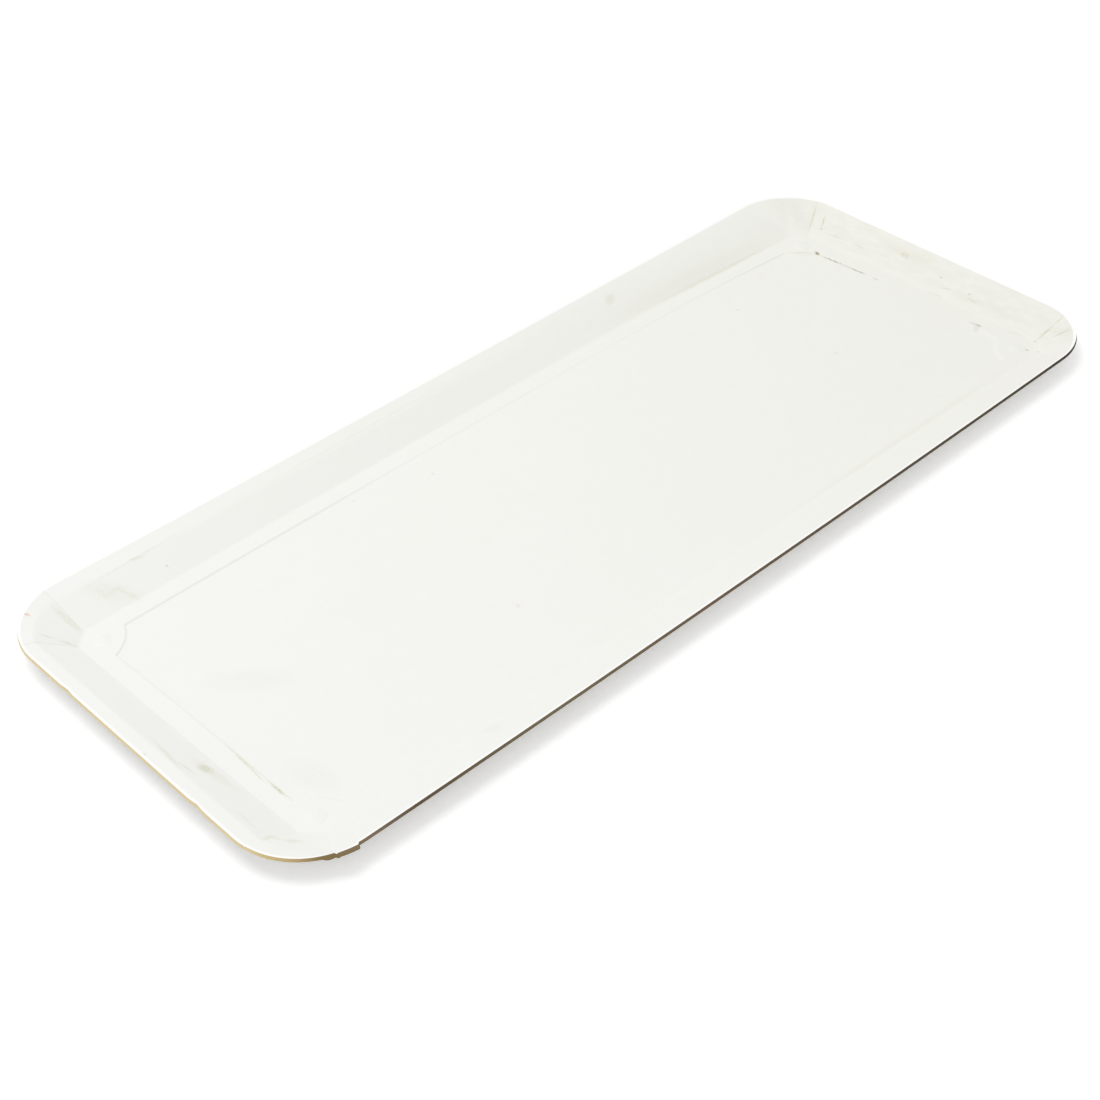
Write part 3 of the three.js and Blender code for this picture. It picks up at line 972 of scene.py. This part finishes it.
def coated_face_material(finish):
    """White coating on board: faint clouding, a little yellowing and darkening to the right that is partly
    painted shade, dirt marks with painted shade along some creases, folds and the back bend, and fine
    grain.

    The right wall and flange are darkened in streaks, partly by grime and partly as painted shade, and the
    last millimetre along the rim is brightened as a painted highlight.
    """
    g = Graph("coated_face")
    place = g.place()
    x = g.axis(place, "X")
    cloud = g.noise(place, 35 * MM, 4.0)
    # The gradient to the right is yellowing and also painted shade for part of the light's falloff from
    # left to right
    ageing_and_shade = (x.eased(-0.17, 0.19) * 0.85 + (cloud - 0.5) * 0.5).clamped()
    colour = g.mix(ageing_and_shade, rgba(finish.face), rgba(finish.aged_and_shaded_face))
    grain = g.noise(place, 0.55 * MM, 4.0, 0.65)
    mottle = g.noise(place, 3.5 * MM, 3.0)
    speckle = 0.985 + (grain - 0.5) * 0.02 + (mottle - 0.5) * 0.02
    # Painted shade with grime: the right wall and flange are darkened in streaks, partly grime and partly
    # shade painted into the colour
    streaks = g.noise(place, 4 * MM, 5.0, 0.65, (1.6, 0.5, 1))
    grime_and_shade = x.eased(0.152, 0.160) * (0.7 + 3.0 * (streaks - 0.5)).clamped()
    red, blue = speckle - grime_and_shade * 0.055, speckle - grime_and_shade * 0.085
    grey = g.node("ShaderNodeCombineXYZ", {}, [red, red, blue])
    colour = g.mix(1.0, colour, grey, "MULTIPLY")
    colour = marked(g, place, colour)
    # Painted highlight: the last millimetre along the rim is brightened
    rim_distance = g.node("ShaderNodeAttribute", {"attribute_name": "rim_distance"}, output="Fac")
    colour = g.mix(rim_distance.eased(1.0 * MM, 1.5 * MM), rgba(finish.lip), colour)
    fibre = g.noise(place, 0.9 * MM, 5.0, 0.6)
    ripple = g.noise(place, 9 * MM, 2.0)
    height = fibre * 0.35 + ripple * 1.2
    bump = g.node("ShaderNodeBump", {}, {"Strength": 0.25, "Distance": 0.05 * MM, "Height": height})
    roughness = finish.roughness + (mottle - 0.5) * 0.12
    return g.finish({"Base Color": colour, "Roughness": roughness, "Normal": bump})


def under_face_material(finish):
    """The plain side of the board: greyer, with visible fibre"""
    g = Graph("under_face")
    place = g.place()
    flecks = g.noise(place, 1.2 * MM, 5.0, 0.7, (1, 2.2, 1))
    cloud = g.noise(place, 28 * MM, 3.0)
    share = (flecks.eased(0.45, 0.75) * 0.6 + (cloud - 0.5) * 0.6).clamped()
    colour = g.mix(share, rgba(finish.bare_face), rgba(finish.bare_flecks))
    fibre = g.noise(place, 0.8 * MM, 5.0, 0.65, (1, 1.8, 1))
    bump = g.node("ShaderNodeBump", {}, {"Strength": 0.4, "Distance": 0.06 * MM, "Height": fibre})
    roughness = 0.78 + (flecks - 0.5) * 0.15
    return g.finish({"Base Color": colour, "Roughness": roughness, "Normal": bump})


# Colour of the raw board along the cut, from the left side round the front corner to the right, mostly
# painted light and shade: lit tan on the left, dark brown in painted shade on the front
CUT_EDGE_LIT_TO_SHADED_STOPS = (
    (0.04, (0.86, 0.71, 0.41)),
    (0.07, (0.75, 0.59, 0.27)),
    (0.09, (0.66, 0.50, 0.24)),
    (0.107, (0.58, 0.41, 0.21)),
    (0.131, (0.29, 0.21, 0.07)),
    (0.18, (0.24, 0.17, 0.11)),
    (0.22, (0.13, 0.088, 0.046)),
    (0.33, (0.20, 0.16, 0.088)),
    (0.49, (0.17, 0.115, 0.066)),
    (0.70, (0.105, 0.080, 0.043)),
    (0.84, (0.086, 0.068, 0.030)),
    (0.96, (0.036, 0.018, 0.016)),
)


def cut_edge_material():
    """Raw fibre along the cut, its light and shade mostly painted in: lit tan on the left, dark brown in
    painted shade on the front
    """
    g = Graph("cut_edge")
    place = g.place()
    x, y = g.axis(place, "X"), g.axis(place, "Y")
    layers = g.noise(place, 0.35 * MM, 4.0, 0.7, (0.35, 0.35, 2.2))
    patches = g.noise(place, 7 * MM, 3.0)
    # Painted light and shade: the colour follows the place round the cut, lit on the left side and shaded
    # along the front
    across = (x * 0.6 - y + (patches - 0.5) * 0.004 + 0.06) / 0.24
    stops = [(at, rgba(colour)) for at, colour in CUT_EDGE_LIT_TO_SHADED_STOPS]
    colour = g.node("ShaderNodeValToRGB", {"stops": stops}, [across.clamped()])
    shade = 0.8 + layers * 0.4
    grey = g.node("ShaderNodeCombineXYZ", {}, [shade, shade, shade])
    colour = g.mix(1.0, colour, grey, "MULTIPLY")
    bump = g.node("ShaderNodeBump", {}, {"Strength": 0.6, "Distance": 0.1 * MM, "Height": layers})
    roughness = 0.8 + layers * 0.15
    return g.finish({"Base Color": colour, "Roughness": roughness, "Normal": bump})


def floor_material():
    """Pale floor that looks white to the camera and still takes the tray's shadow"""
    g = Graph("studio_floor")
    paths = ("Is Camera Ray", "Is Glossy Ray", "Is Transmission Ray")
    camera, glossy, through = [g.node("ShaderNodeLightPath", {}, output=name) for name in paths]
    plain = g.node("ShaderNodeBsdfDiffuse", {}, {"Color": (0.82, 0.82, 0.82, 1)})
    white = g.node("ShaderNodeBsdfDiffuse", {}, {"Color": (0.95, 0.95, 0.95, 1)})
    glow = g.node("ShaderNodeEmission", {}, {"Color": (1, 1, 1, 1), "Strength": 0.25})
    bright = g.node("ShaderNodeAddShader", {}, [white, glow])
    seen = (camera + glossy + through).clamped()
    surface = g.node("ShaderNodeMixShader", {}, [seen, plain, bright])
    return g.surfaced(surface)


class TRAY_OT_press_sheet(bpy.types.Operator):
    """Presses the sheet into the tray's fine mesh, in place of its plain solid"""

    bl_idname = "cake_tray.press_sheet"
    bl_label = "Press the sheet"

    def execute(self, context):
        finish = context.scene.board_finish
        materials = [coated_face_material(finish), cut_edge_material(), under_face_material(finish)]
        points, insets, faces, indices = TrayMesh(context.scene.tray_sizes).build()
        sheet = new_mesh("tray_sheet", points, faces, materials, indices)
        distance = sheet.data.attributes.new("rim_distance", "FLOAT", "POINT")
        distance.data.foreach_set("value", insets)
        weld(sheet, WELD_DISTANCE)
        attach(sheet, "root")
        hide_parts("tray")
        return {"FINISHED"}


class TRAY_OT_set_stage(bpy.types.Operator):
    """Lays the pale floor and sets the lamp, the light all round and the camera"""

    bl_idname = "cake_tray.set_stage"
    bl_label = "Set the stage"

    def execute(self, context):
        studio = context.scene.studio_settings
        self.lay_floor(studio)
        self.hang_lamp(studio)
        self.light_world(context, studio)
        self.place_camera(context, studio)
        context.scene.view_settings.view_transform = "Standard"
        return {"FINISHED"}

    def lay_floor(self, studio):
        reach = studio.floor_reach
        corners = np.array([(-reach, -reach, 0), (reach, -reach, 0), (reach, reach, 0), (-reach, reach, 0)])
        faces = np.array([[0, 1, 2, 3]])
        floor = new_mesh("floor", corners, faces, [floor_material()], [0])

    def hang_lamp(self, studio):
        data = bpy.data.lights.new("soft_lamp", "AREA")
        data.shape = "DISK"
        data.size = studio.lamp_size
        data.energy = studio.key_power
        lamp = bpy.data.objects.new("soft_lamp", data)
        lamp.location = studio.lamp_place
        lamp.rotation_mode = "QUATERNION"
        lamp.rotation_quaternion = (Vector((0, 0, 0)) - lamp.location).to_track_quat("-Z", "Y")
        bpy.context.scene.collection.objects.link(lamp)

    def light_world(self, context, studio):
        world = bpy.data.worlds.new("studio_world")
        world.use_nodes = True
        back = world.node_tree.nodes["Background"]
        back.inputs["Color"].default_value = (1, 1, 1, 1)
        back.inputs["Strength"].default_value = studio.ambient
        context.scene.world = world

    def place_camera(self, context, studio):
        data = bpy.data.cameras.new("camera")
        data.lens = studio.lens
        data.sensor_width = 36
        data.clip_start = 0.01
        camera = bpy.data.objects.new("camera", data)
        heading = Matrix.Rotation(-studio.azimuth, 3, "Z")
        tilt = Matrix.Rotation(math.pi / 2 - studio.elevation, 3, "X")
        roll = Matrix.Rotation(studio.roll, 3, "Z")
        turn = (heading @ tilt @ roll).to_4x4()
        camera.matrix_world = Matrix.Translation(studio.camera_place) @ turn
        context.scene.collection.objects.link(camera)
        context.scene.camera = camera


class TRAY_PT_panel(bpy.types.Panel):
    """Lists the tray's operators"""

    bl_label = "Cake tray"
    bl_idname = "TRAY_PT_panel"
    bl_space_type = "VIEW_3D"
    bl_region_type = "UI"
    bl_category = "Cake Tray"

    def draw(self, context):
        for operator in OPERATORS:
            self.layout.operator(operator.bl_idname)


GROUPS = {"tray_sizes": TraySizes, "board_finish": BoardFinish, "studio_settings": StudioSettings}
OPERATORS = (TRAY_OT_press_sheet, TRAY_OT_set_stage)


def register():
    for name, group in GROUPS.items():
        bpy.utils.register_class(group)
        setattr(bpy.types.Scene, name, bpy.props.PointerProperty(type=group))
    for kind in (*OPERATORS, TRAY_PT_panel):
        bpy.utils.register_class(kind)


def unregister():
    for kind in (TRAY_PT_panel, *reversed(OPERATORS)):
        bpy.utils.unregister_class(kind)
    for name, group in reversed(GROUPS.items()):
        delattr(bpy.types.Scene, name)
        bpy.utils.unregister_class(group)


def main():
    register()
    bpy.ops.cake_tray.press_sheet()
    bpy.ops.cake_tray.set_stage()


if __name__ == "__main__":
    main()
